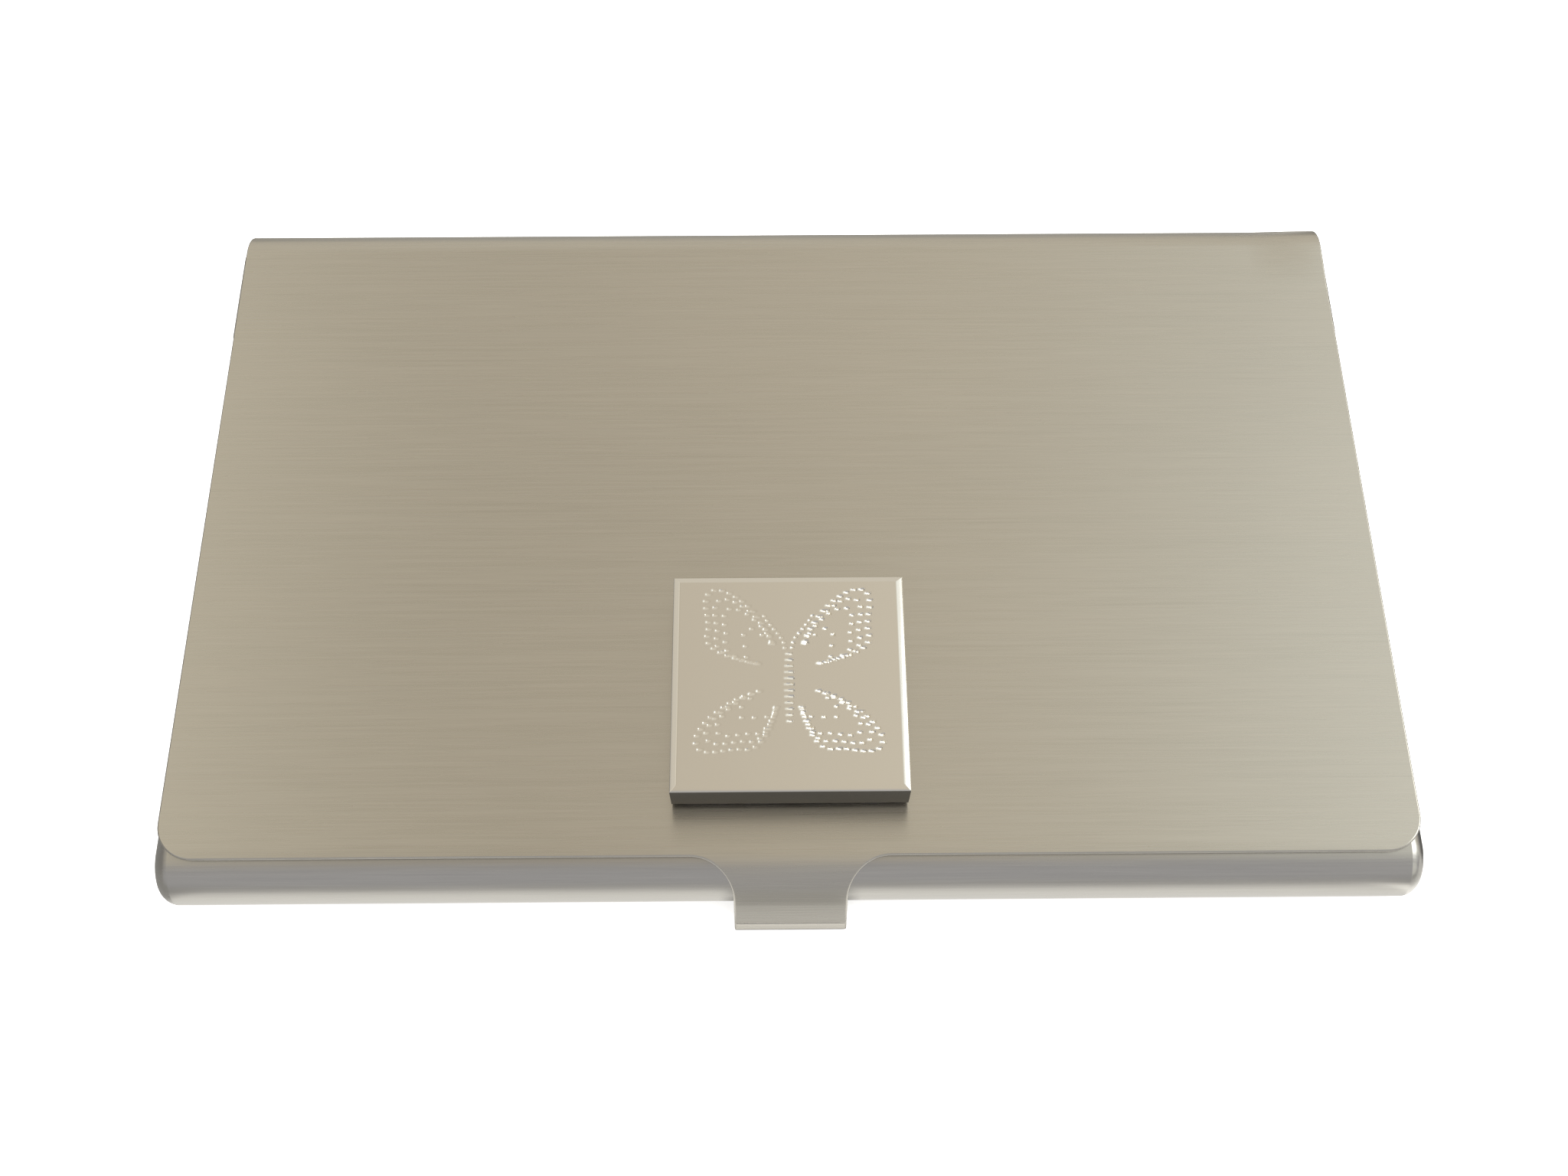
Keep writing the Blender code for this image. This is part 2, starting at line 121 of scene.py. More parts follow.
# Rivets
RIVET_RADIUS = 0.75 * MM
RIVET_HOLE_RADIUS = 0.85 * MM
RIVET_HEAD_HEIGHT = 0.45 * MM
RIVET_TAIL_HEIGHT = 0.25 * MM
RIVET_TAIL_RADIUS = 1.15 * MM
RIVET_EDGE = 0.1 * MM           # height of the head's rim, and the chamfer of the tail
RIVET_SEAT_CHAMFER = 0.03 * MM
RIVET_DIMPLE_RADIUS = 0.35 * MM
RIVET_DIMPLE_DEPTH = 0.12 * MM

# Tile and glue
TILE_SPREAD = 0.03 * MM         # how far each side stands beyond the frame's tile
TILE_COLUMNS, TILE_ROWS = 250, 320
TILE_CHAMFER = 0.5 * MM
TILE_CHAMFER_DROP = 0.13 * MM
TILE_TAPER = 0.05 * MM
ETCH_DEPTH = 0.16 * MM
ROOT_CLEARANCE = 1.7            # mm round each wing's root that stays plain
FAINT_SIDE = 0.35               # the left half of the drawing is cut less deeply
STROKE_HALF_WIDTH = 0.07 * MM
STROKE_SOFTNESS = 0.045 * MM
GLUE_CORNER_RADIUS = 0.8 * MM
GLUE_INSET = 0.08               # mm that its bulge stays inside the frame's pad

# Sheet edges and mesh steps
EDGE_RADIUS = 0.1 * MM          # broken edges of the cut sheet
PLATE_EDGE_RADIUS = 0.06 * MM   # the same on the ears, arms and pips
EDGE_TILTS_DEG = (0, 30, 60, 90, 90, 120, 150, 180)
ARC_STEP_DEG = 3.0
ROLL_END_STEPS = 9
WELD_DISTANCE = 0.001 * MM
NEAR_DISTANCE = 0.015 * MM      # outline points closer than this are one point

# Floor and camera
FLOOR_HALF = 1.5
FLOOR_DROP = 0.02 * MM          # keeps the paper clear of the tray's underside
FLOOR_LIFT = 0.65               # light the floor gives off itself, which softens shadows on it
CAMERA_LENS = 42.6              # mm, on a sensor 36 mm wide
CAMERA_PLACE = Vector((-1.05, -73.5, 136.0)) * MM
CAMERA_PITCH_DEG = 62.45        # how far it looks down
CAMERA_YAW_DEG = -0.645
CAMERA_ROLL_DEG = 0.19


# ---------------------------------------------------------------- mesh helpers

def arc(centre, radius, start_deg, end_deg, step_deg=ARC_STEP_DEG):
    """Points along an arc, both ends included."""
    count = max(3, round(abs(end_deg - start_deg) / step_deg))
    points = []
    for i in range(count + 1):
        angle = radians(start_deg + (end_deg - start_deg) * i / count)
        points.append((centre[0] + radius * cos(angle), centre[1] + radius * sin(angle)))
    return points


def link(name, mesh):
    obj = bpy.data.objects.new(name, mesh)
    bpy.context.scene.collection.objects.link(obj)
    return obj


def mesh_from(bm, name):
    mesh = bpy.data.meshes.new(name)
    bm.to_mesh(mesh)
    bm.free()
    return mesh


def loop_edges(bm, points):
    """A closed ring of new edges through points."""
    verts = [bm.verts.new(p) for p in points]
    return [bm.edges.new((a, b)) for a, b in zip(verts, verts[1:] + verts[:1])]


def wound(ring, anticlockwise):
    """A ring's points in the wanted sense, without near doubles."""
    path = [Vector(p) for p in ring]
    path = [p for p, q in zip(path, path[1:] + path[:1]) if (p - q).length > NEAR_DISTANCE]
    area = sum(p.x * q.y - q.x * p.y for p, q in zip(path, path[1:] + path[:1]))
    return path if (area > 0) == anticlockwise else path[::-1]


def outward_steps(ring):
    """How far each corner of a ring moves when its sides all move outwards by 1."""
    path = np.array(ring)
    rights = []
    for step in (path - np.roll(path, 1, axis=0), np.roll(path, -1, axis=0) - path):
        rights.append(np.c_[step[:, 1], -step[:, 0]] / np.linalg.norm(step, axis=1)[:, None])
    mitre = np.maximum(1.0 + (rights[0] * rights[1]).sum(axis=1), 0.4)
    return (rights[0] + rights[1]) / mitre[:, None]


def solid_sheet(outline, holes, thickness, radius):
    """A closed flat sheet with rounded edges. Its points are (a, b, depth below its face)."""
    bm = bmesh.new()
    facing = bm.verts.layers.float_vector.new("facing")
    borders = ([], [])
    for ring, anticlockwise in [(outline, True)] + [(hole, False) for hole in holes]:
        ring = wound(ring, anticlockwise)
        path, steps = np.array(ring), outward_steps(ring)
        loops = []
        for tilt_deg in EDGE_TILTS_DEG:
            tilt = radians(tilt_deg)
            under = len(loops) >= len(EDGE_TILTS_DEG) // 2
            depth = thickness - radius * (1 + cos(tilt)) if under else radius * (1 - cos(tilt))
            loop = []
            for (a, b), step in zip(path - steps * radius * (1 - sin(tilt)), steps):
                vert = bm.verts.new((a, b, depth))
                away = Vector(step).normalized() * sin(tilt)
                vert[facing] = (away.x, away.y, cos(tilt))
                loop.append(vert)
            loops.append(loop)
        for upper, lower in zip(loops, loops[1:]):
            for k in range(len(ring)):
                bm.faces.new((upper[k - 1], upper[k], lower[k], lower[k - 1]))
        for loop, border in zip((loops[0], loops[-1]), borders):
            border += [bm.edges.get((loop[k - 1], loop[k])) for k in range(len(loop))]
    for border in borders:
        bmesh.ops.triangle_fill(bm, edges=border, use_beauty=True)
    return bm


def placed(bm, to_world):
    """A flat sheet's points and surface directions in their real places, and its faces."""
    facing = bm.verts.layers.float_vector["facing"]
    step = 0.01 * MM
    points, normals = [], []
    for vert in bm.verts:
        a, b, depth = vert.co
        across = (to_world(a + step, b, depth) - to_world(a - step, b, depth)).normalized()
        along = (to_world(a, b + step, depth) - to_world(a, b - step, depth)).normalized()
        inward = to_world(a, b, depth + step) - to_world(a, b, depth - step)
        up = across.cross(along).normalized()
        if up.dot(inward) > 0:
            up.negate()
        flat = vert[facing]
        points.append(to_world(a, b, depth))
        normals.append((across * flat.x + along * flat.y + up * flat.z).normalized())
    for vert, point in zip(bm.verts, points):
        vert.co = point
    bm.normal_update()
    bmesh.ops.recalc_face_normals(bm, faces=bm.faces)
    bm.verts.index_update()
    faces = [[vert.index for vert in face.verts] for face in bm.faces]
    bm.free()
    return points, normals, faces


def sheet_object(name, shells):
    """One object from closed shells, each (points, normals, faces)."""
    points, normals, faces = [], [], []
    for shell_points, shell_normals, shell_faces in shells:
        base = len(points)
        points += shell_points
        normals += shell_normals
        faces += [[base + k for k in face] for face in shell_faces]
    mesh = bpy.data.meshes.new(name)
    mesh.from_pydata(points, [], faces)
    mesh.shade_smooth()
    mesh.normals_split_custom_set_from_vertices(normals)
    return link(name, mesh)


def apply_modifiers(obj):
    """Bake an object's modifiers into its own mesh."""
    bpy.context.view_layer.update()
    evaluated = obj.evaluated_get(bpy.context.evaluated_depsgraph_get())
    baked = bpy.data.meshes.new_from_object(evaluated)
    obj.modifiers.clear()
    obj.data = baked
    return obj


def thicken(obj, thickness):
    """Give a bent sheet its thickness below its surface, and break its cut edges."""
    solidify = obj.modifiers.new("sheet", "SOLIDIFY")
    solidify.thickness = thickness
    solidify.offset = -1.0
    solidify.use_even_offset = True
    bevel = obj.modifiers.new("broken_edges", "BEVEL")
    bevel.width = EDGE_RADIUS
    bevel.segments = 3
    bevel.limit_method = "ANGLE"
    bevel.angle_limit = radians(50)
    bevel.use_clamp_overlap = False
    return apply_modifiers(obj)


def finish_shading(obj, sharp_deg=32.0, crease_x=None, same_area=0.1 * MM * MM):
    """Smooth shading that keeps large flats flat, and two creases at x = +/- crease_x sharp.

    Faces whose areas differ by less than same_area count as equally large.
    """
    mesh = obj.data
    mesh.shade_smooth()
    mesh.set_sharp_from_angle(angle=radians(sharp_deg))
    if crease_x:
        sharp = mesh.attributes["sharp_edge"].data
        for edge in mesh.edges:
            if all(abs(abs(mesh.vertices[v].co.x) - crease_x) < WELD_DISTANCE for v in edge.vertices):
                sharp[edge.index].value = True
    normals = obj.modifiers.new("flat_faces_lead", "WEIGHTED_NORMAL")
    normals.mode = "FACE_AREA"
    normals.weight = 100
    normals.thresh = same_area
    normals.keep_sharp = True
    return apply_modifiers(obj)


def side_plate(outline, holes, x_outer, thickness, side):
    """An upright plate in the YZ plane, with its outer face at side * x_outer."""
    bm = solid_sheet(outline, holes, thickness, PLATE_EDGE_RADIUS)
    return placed(bm, lambda y, z, depth: Vector((side * (x_outer - depth), y, z)))


def rivet_hole():
    """The rivet hole's rim, as a ring of (y, z) points round the hinge axis."""
    return arc((HINGE.y, HINGE.z), RIVET_HOLE_RADIUS, 0, 360, 11.25)[:-1]


# ---------------------------------------------------------------- tray

def tray_profile(inset):
    """Tray section from the lip's rear end, over the roll, to the rear edge of the floor."""
    top = [(PLAIN_WALL_Y, TRAY_HIGH.z - inset)]
    nose = arc((ROLL_Y, ROLL_RADIUS), ROLL_RADIUS - inset, 90, 270)
    return top + nose + [(FLOOR_END_Y, inset)]


def tray_surface():
    """Outer skin of the tray: profile loops across the width, rounded in at both ends."""
    bm = bmesh.new()
    half = TRAY_HIGH.x
    crease = radians(ROLL_END_CREASE_DEG)
    stations = []
    for i in range(ROLL_END_STEPS, -1, -1):
        a = crease + (pi / 2 - crease) * i / ROLL_END_STEPS
        stations.append((-half + TRAY_RIM_RADIUS * (1 - sin(a)),
                         TRAY_RIM_RADIUS * (cos(crease) - cos(a))))
    stations.append((-half + LIP_WIDTH, 0.0))
    stations += [(-x, inset) for x, inset in reversed(stations)]
    rings = []
    for x, inset in stations:
        rings.append([bm.verts.new((x, y, z)) for y, z in tray_profile(inset)])
    lip_ring = len(stations) // 2 - 1
    for i, (ring, after) in enumerate(zip(rings, rings[1:])):
        for k in range(len(ring) - 1):
            middle = (ring[k].co + ring[k + 1].co) / 2
            if i == lip_ring and middle.z > ROLL_RADIUS and middle.y > ROLL_Y:
                continue
            bm.faces.new((ring[k], ring[k + 1], after[k + 1], after[k]))
    for ring in (rings[0], rings[-1]):
        x = ring[0].co.x
        border = ring + [bm.verts.new((x, y, z)) for y, z in tray_ear_outline()]
        edges = [bm.edges.get((a, b)) or bm.edges.new((a, b))
                 for a, b in zip(border, border[1:] + border[:1])]
        edges += loop_edges(bm, [(x, y, z) for y, z in rivet_hole()])
        bmesh.ops.triangle_fill(bm, edges=edges, use_beauty=True)
    bmesh.ops.recalc_face_normals(bm, faces=bm.faces)
    outward = next(f for f in bm.faces if f.calc_center_median().z < WELD_DISTANCE)
    if outward.normal.z > 0:
        bmesh.ops.reverse_faces(bm, faces=bm.faces)
    return mesh_from(bm, "tray_sheet")


def tray_ear_outline():
    """The plain wall end behind the pressed profile, from the floor's edge round to the lip."""
    foot = (FLOOR_END_Y + EAR_FOOT_SLOPE, HINGE.z - EAR_RADIUS)
    round_end = arc((HINGE.y, HINGE.z), EAR_RADIUS, -90, 90)
    return [foot] + round_end + [(PLAIN_WALL_Y, HINGE.z + EAR_RADIUS)]


def build_tray():
    tray = thicken(link("tray_sheet", tray_surface()), TRAY_SHEET)
    crease_x = TRAY_HIGH.x - TRAY_RIM_RADIUS * (1 - sin(radians(ROLL_END_CREASE_DEG)))
    return finish_shading(tray, crease_x=crease_x)


# ---------------------------------------------------------------- lid

# The blank is measured along the middle of its sheet, from the start of the front bend
FRONT_MID = TAB_BEND_RADIUS - LID_SHEET / 2
REAR_MID = CURL_RADIUS - LID_SHEET / 2
FLAT_LENGTH = HINGE.y - ROLL_Y


def lid_outline():
    """Right half of the flat blank, as (x, distance along the sheet), from the tab to the curl."""
    front = -FRONT_MID * asin((ROLL_Y - TRAY_LOW.y - LID_SETBACK) / TAB_BEND_RADIUS)
    tab_end = -FRONT_MID * radians(TAB_BEND_DEG) - TAB_STRAIGHT
    strip_end = FLAT_LENGTH + REAR_MID * radians(CURL_END_DEG)
    curl_end = FLAT_LENGTH + REAR_MID * radians(CURL_DEG)
    edge, tab = LID_EDGE_X, TAB_WIDTH / 2
    notch = edge - CURL_END_WIDTH
    corner, neck = LID_CORNER_RADIUS, TAB_NECK_RADIUS
    tab_corner = (tab - TAB_CORNER_RADIUS, tab_end + TAB_CORNER_RADIUS)
    outline = arc(tab_corner, TAB_CORNER_RADIUS, -90, 0, 15)
    outline += arc((tab + neck, front - neck), neck, 180, 90, 5)
    outline += arc((edge - corner, front + corner), corner, -90, 0, 5)
    end_centre = (edge - CURL_END_RADIUS, strip_end - CURL_END_RADIUS)
    outline += arc(end_centre, CURL_END_RADIUS, 0, 90, 7.5)
    outline += [(notch + CURL_NOTCH_CHAMFER, strip_end), (notch, strip_end + CURL_NOTCH_CHAMFER)]
    tip_centre = (notch - CURL_TIP_RADIUS, curl_end - CURL_TIP_RADIUS)
    return outline + arc(tip_centre, CURL_TIP_RADIUS, 0, 90, 15)


def ease(t):
    """Smooth step from 0 to 1."""
    t = min(max(t, 0.0), 1.0)
    return t * t * (3 - 2 * t)


def bent(x, s, depth):
    """Where a point of the blank goes when it is bent; depth is below the upper face.

    Its s runs from the front bend's start: negative over the tab, past FLAT_LENGTH into the curl.
    """
    if s < 0:
        turn = min(-s / FRONT_MID, radians(TAB_BEND_DEG))
        straight = -s - turn * FRONT_MID
        past_crease = straight - TAB_STRAIGHT + TAB_LIP
        lip = max(past_crease, 0.0)
        out = radians(TAB_LIP_DEG)
        y = ROLL_Y - TAB_BEND_RADIUS * sin(turn) - (straight - lip) * cos(turn) - lip * cos(out)
        z = LID_HIGH.z - TAB_BEND_RADIUS * (1 - cos(turn))
        z -= (straight - lip) * sin(turn) + lip * sin(out)
        if depth < LID_SHEET / 2:
            depth += TAB_CREASE_DEPTH * max(0.0, 1.0 - 2 * abs(past_crease) / TAB_CREASE_WIDTH)
        facing = out if lip > WELD_DISTANCE else turn
        return Vector((x, y + depth * sin(facing), z - depth * cos(facing)))
    lift = CORNER_LIFT * ease((x - CORNER_LIFT_FROM_X) / (LID_EDGE_X - CORNER_LIFT_FROM_X))
    lift *= ease((s - FLAT_LENGTH) / CORNER_LIFT_LENGTH + 1.0)
    if s > FLAT_LENGTH:
        turn = (s - FLAT_LENGTH) / REAR_MID
        lift *= 1.0 - ease(turn / radians(CURL_DEG))
        radius = CURL_RADIUS - depth
        return Vector((x, HINGE.y + radius * sin(turn), HINGE.z + radius * cos(turn) + lift))
    return Vector((x, ROLL_Y + s, LID_HIGH.z + lift - depth))


def bent_lid_sheet():
    """The lid's sheet: the blank, scored across at every bend step, then bent."""
    right = lid_outline()
    outline = right + [(-x, s) for x, s in reversed(right)]
    bm = solid_sheet(outline, (), LID_SHEET, LID_EDGE_RADIUS)
    tab_flat = -FRONT_MID * radians(TAB_BEND_DEG)
    front_steps = round(TAB_BEND_DEG / ARC_STEP_DEG)
    rear_steps = round(CURL_DEG / ARC_STEP_DEG)
    scores = [tab_flat * i / front_steps for i in range(front_steps + 1)]
    scores += [FLAT_LENGTH + REAR_MID * radians(CURL_DEG) * i / rear_steps
               for i in range(rear_steps)]
    crease = tab_flat - TAB_STRAIGHT + TAB_LIP
    scores += [crease + TAB_CREASE_WIDTH * share for share in (-0.7, -0.5, 0, 0.5, 0.7)]
    scores += [FLAT_LENGTH - CORNER_LIFT_LENGTH * i / 6 for i in range(1, 7)]
    cuts = [((0, s, 0), (0, 1, 0), tab_flat * 2) for s in scores]
    lifted_from = FLAT_LENGTH - CORNER_LIFT_LENGTH * 1.01
    cuts += [((CORNER_LIFT_FROM_X + 0.6 * MM * i, 0, 0), (1, 0, 0), lifted_from) for i in range(11)]
    for point, normal, start in cuts:
        faces = [f for f in bm.faces if all(v.co.y > start for v in f.verts)]
        edges = {e for f in faces for e in f.edges}
        verts = {v for f in faces for v in f.verts}
        bmesh.ops.bisect_plane(bm, geom=[*verts, *edges, *faces], dist=0.002 * MM,
                               plane_co=point, plane_no=normal)
    return placed(bm, bent)


def lid_ear(side):
    """The lug under the lid's corner, with the pip that picks up the lifter's arm."""
    outline = [(HINGE.y - LID_EAR_RADIUS, LID_EAR_TOP)]
    outline += arc((HINGE.y, HINGE.z), LID_EAR_RADIUS, 180, 450, 6)
    outline += [(HINGE.y, LID_EAR_TOP)]
    return side_plate(outline, [rivet_hole()], LID_EAR_OUTSIDE_X, LID_EAR_SHEET, side)


def pickup_pip(side):
    """The short pin that stands inwards from the lug."""
    outer_x = LID_EAR_OUTSIDE_X - LID_EAR_SHEET / 2
    length = outer_x - (LIFTER_HIGH.x - LIFTER_SHEET)
    outline = arc((HINGE.y + PICKUP_ORBIT, HINGE.z), PICKUP_RADIUS, 0, 360, 15)[:-1]
    return side_plate(outline, (), outer_x, length, side)


def build_lid():
    fittings = [fitting(side) for side in (-1, 1) for fitting in (lid_ear, pickup_pip)]
    return sheet_object("lid_sheet", [bent_lid_sheet()] + fittings)


# ---------------------------------------------------------------- card lifter

def lifter_outline():
    """The plate seen from above, with a thumb notch in its front edge."""
    side, front, rear = LIFTER_HALF_WIDTH, LIFTER_LOW.y, LIFTER_REAR_Y
    corner = LIFTER_CORNER_RADIUS
    foot_x = LIFTER_HIGH.x - ARM_SINK
    foot_front = rear - ARM_FOOT_LENGTH
    notch_y = front + THUMB_NOTCH_DEPTH - THUMB_NOTCH_RADIUS
    half_deg = degrees(acos((front - notch_y) / THUMB_NOTCH_RADIUS))
    right = arc((0.0, notch_y), THUMB_NOTCH_RADIUS, 90, 90 - half_deg)
    right += arc((side - corner, front + corner), corner, -90, 0, 6)
    step = foot_x - side
    right += [(side, foot_front - step), (foot_x, foot_front), (foot_x, rear)]
    return right + [(-x, y) for x, y in reversed(right[1:])]


def lifter_arm(side):
    """The upright arm at the plate's rear corner, a disc on the rivet with a foot on the plate."""
    foot_rear = LIFTER_REAR_Y - ARM_SINK
    foot_front = LIFTER_REAR_Y - ARM_FOOT_LENGTH + ARM_SINK
    foot_z = LIFTER_LOW.z + ARM_SINK
    outline = arc((HINGE.y, HINGE.z), ARM_DISC_RADIUS, -105, 135, 6)
    outline += [(foot_front, foot_z + LIFTER_SHEET), (foot_front, foot_z), (foot_rear, foot_z)]
    return side_plate(outline, [rivet_hole()], LIFTER_HIGH.x, LIFTER_SHEET, side)


def build_lifter():
    top = LIFTER_LOW.z + LIFTER_SHEET
    bm = solid_sheet(lifter_outline(), (), LIFTER_SHEET, EDGE_RADIUS)
    plate = placed(bm, lambda x, y, depth: Vector((x, y, top - depth)))
    return sheet_object("lifter_plate", [plate, lifter_arm(-1), lifter_arm(1)])


# ---------------------------------------------------------------- rivets

def rivet_section():
    """Half section along the rivet's own axis, from the domed head to the clenched tail."""
    head_radius = (RIVET_HIGH.z - RIVET_LOW.z) / 2
    crown, tail = RIVET_HIGH.x, RIVET_LOW.x
    seat = crown - RIVET_HEAD_HEIGHT
    clench = tail + RIVET_TAIL_HEIGHT
    rise = RIVET_HEAD_HEIGHT - RIVET_EDGE
    sphere = (head_radius ** 2 + rise ** 2) / (2 * rise)
    half_deg = degrees(asin(head_radius / sphere))
    section = arc((0.0, crown - sphere), sphere, 90, 90 - half_deg, 4)
    section += [(head_radius, seat + RIVET_SEAT_CHAMFER), (head_radius - RIVET_SEAT_CHAMFER, seat)]
    section += [(RIVET_RADIUS, seat), (RIVET_RADIUS, clench)]
    section += [(RIVET_TAIL_RADIUS, clench), (RIVET_TAIL_RADIUS, tail + RIVET_EDGE)]
    section += [(RIVET_TAIL_RADIUS - RIVET_EDGE, tail), (RIVET_DIMPLE_RADIUS, tail)]
    return section + [(0.0, tail + RIVET_DIMPLE_DEPTH)]


def build_rivet(name, side):
    """The section turned about the hinge axis."""
    bm = bmesh.new()
    section = rivet_section()
    verts = [bm.verts.new((r, 0.0, h)) for r, h in section]
    edges = [bm.edges.new(pair) for pair in zip(verts, verts[1:])]
    bmesh.ops.spin(bm, geom=verts + edges, axis=(0, 0, 1), cent=(0, 0, 0), steps=48,
                   angle=2 * pi, use_merge=True, use_duplicate=False)
    bmesh.ops.remove_doubles(bm, verts=bm.verts, dist=WELD_DISTANCE)
    bmesh.ops.recalc_face_normals(bm, faces=bm.faces)
    on_axis = Matrix.Translation(Vector((0, HINGE.y, HINGE.z)))
    place = on_axis @ Matrix.Rotation(side * pi / 2, 4, "Y")
    bmesh.ops.transform(bm, matrix=place, verts=bm.verts)
    rivet = link(name, mesh_from(bm, name))
    rivet.data.shade_smooth()
    rivet.data.set_sharp_from_angle(angle=radians(40))
    return rivet


# ---------------------------------------------------------------- tile and glue

def wing(root, from_deg, to_deg, reach, fullness):
    """Outline of one wing: reach swells and fades between two directions from its root."""
    points = []
    for t in np.linspace(0.0, 1.0, 97):
        angle = radians(from_deg + (to_deg - from_deg) * t)
        r = reach * sin(pi * t) ** fullness * (1 + 0.12 * cos(3 * pi * t))
        points.append((root[0] + r * cos(angle), root[1] + r * sin(angle)))
    return points


def spaced(points, step):
    """Points at equal steps along a path."""
    path = np.array(points)
    run = np.r_[0.0, np.cumsum(np.linalg.norm(np.diff(path, axis=0), axis=1))]
    at = np.arange(0.0, run[-1], step)
    return np.c_[np.interp(at, run, path[:, 0]), np.interp(at, run, path[:, 1])]


def butterfly_strokes():
    """Short level strokes that draw a plain butterfly, the same on both sides.

    Rows of (x, y, half length, side they deepen to, depth). The design is in mm and degrees: each
    wing has a root, a first and a last direction, a reach and a fullness, and is drawn by rows of
    strokes, each row at a share of the reach with its own spacing and half length.
    """
    strokes = []
    wings = ((0.5, 1.0, 12, 74, 7.8, 0.38), (0.5, -0.4, -78, -14, 7.4, 0.44))
    rows = ((1.0, 0.6, 0.2), (0.88, 0.66, 0.18), (0.76, 0.74, 0.16), (0.5, 0.95, 0.14))
    for x0, y0, start, end, reach, fullness in wings:
        for share, step, length in rows:
            outline = wing((x0, y0), start, end, reach * share, fullness)
            strokes += [(x, y, length) for x, y in spaced(outline, step)
                        if (x - x0) ** 2 + (y - y0) ** 2 > ROOT_CLEARANCE ** 2]
    feeler = [(0.25 + 1.7 * sin(a) ** 2, 2.7 + 2.9 * a / 1.4) for a in np.linspace(0, 1.4, 30)]
    strokes += [(x, y, 0.1) for x, y in spaced(feeler, 0.45)]
    right = np.array([(x, y, length, 1.0, 1.0) for x, y, length in strokes])
    left = right * np.array((-1.0, 1.0, 1.0, -1.0, FAINT_SIDE))
    body = np.array([(0.0, 2.2 - 0.5 * i, 0.2 + 0.15 * sin(pi * (i + 1) / 12), 1.0, 0.8)
                     for i in range(12)])
    table = np.vstack((right, left, body))
    table[:, :3] *= MM
    return table


def etch_amount(x, y):
    """How deeply each point of the tile's face is cut, from 0 to 1. Cuts deepen outwards."""
    amount = np.zeros_like(x)
    for cx, cy, half_length, lean, depth in butterfly_strokes():
        out_x = np.abs(x - cx) - half_length
        out_y = np.abs(y - cy) - STROKE_HALF_WIDTH
        near = (out_x < STROKE_SOFTNESS) & (out_y < STROKE_SOFTNESS)
        away = np.hypot(np.maximum(out_x[near], 0.0), np.maximum(out_y[near], 0.0))
        cut = np.clip(1.0 - away / STROKE_SOFTNESS, 0.0, 1.0)
        along = np.clip((x[near] - cx) / half_length, -1.0, 1.0)
        amount[near] = np.maximum(amount[near], cut * depth * (0.55 + 0.45 * lean * along))
    return amount


def tile_section():
    """Rim of the tile below its face: (inset from the outer edge, height), going down."""
    top, foot = TILE_HIGH.z, TILE_LOW.z
    rim = top - TILE_CHAMFER_DROP
    slope = [(TILE_CHAMFER, top), (TILE_CHAMFER - 0.06 * MM, top - 0.01 * MM)]
    slope += [(0.06 * MM, rim), (0.03 * MM, rim - 0.018 * MM), (0.008 * MM, rim - 0.045 * MM)]
    slope += [(0.0, rim - 0.08 * MM)]
    slope += [(TILE_TAPER * 0.9, foot + 0.12 * MM), (TILE_TAPER, foot + 0.05 * MM)]
    return slope + [(TILE_TAPER + 0.04 * MM, foot)]


def build_tile():
    """A square tile: etched face as a fine grid, then chamfer, tapered sides and foot."""
    half = (TILE_HIGH.x - TILE_LOW.x) / 2 + TILE_SPREAD
    centre_y = (TILE_LOW.y + TILE_HIGH.y) / 2
    face_half = half - TILE_CHAMFER
    xs = np.linspace(-face_half, face_half, TILE_COLUMNS)
    ys = np.linspace(-face_half, face_half, TILE_ROWS)
    grid_x, grid_y = np.meshgrid(xs, ys)
    cut = etch_amount(grid_x, grid_y)
    bm = bmesh.new()
    etch_layer = bm.verts.layers.float.new("etch")
    grid = []
    for y, cuts in zip(ys, cut):
        row = []
        for x, amount in zip(xs, cuts):
            vert = bm.verts.new((x, centre_y + y, TILE_HIGH.z - ETCH_DEPTH * amount))
            vert[etch_layer] = min(4.0 * amount, 1.0)
            row.append(vert)
        grid.append(row)
    for low, high in zip(grid, grid[1:]):
        for i in range(TILE_COLUMNS - 1):
            bm.faces.new((low[i], low[i + 1], high[i + 1], high[i]))
    rim = grid[0] + [row[-1] for row in grid[1:]] + grid[-1][-2::-1]
    rim += [row[0] for row in grid[-2:0:-1]]
    ring = rim
    for inset, z in tile_section()[1:]:
        growth = (half - inset) / face_half
        lower = [bm.verts.new((v.co.x * growth, centre_y + (v.co.y - centre_y) * growth, z))
                 for v in rim]
        for k in range(len(ring)):
            n = (k + 1) % len(ring)
            bm.faces.new((ring[n], ring[k], lower[k], lower[n]))
        ring = lower
    bm.faces.new(ring)
    bmesh.ops.recalc_face_normals(bm, faces=bm.faces)
    tile = link("tile_etched", mesh_from(bm, "tile_etched"))
    return finish_shading(tile, 35.0, same_area=0.001 * MM * MM)


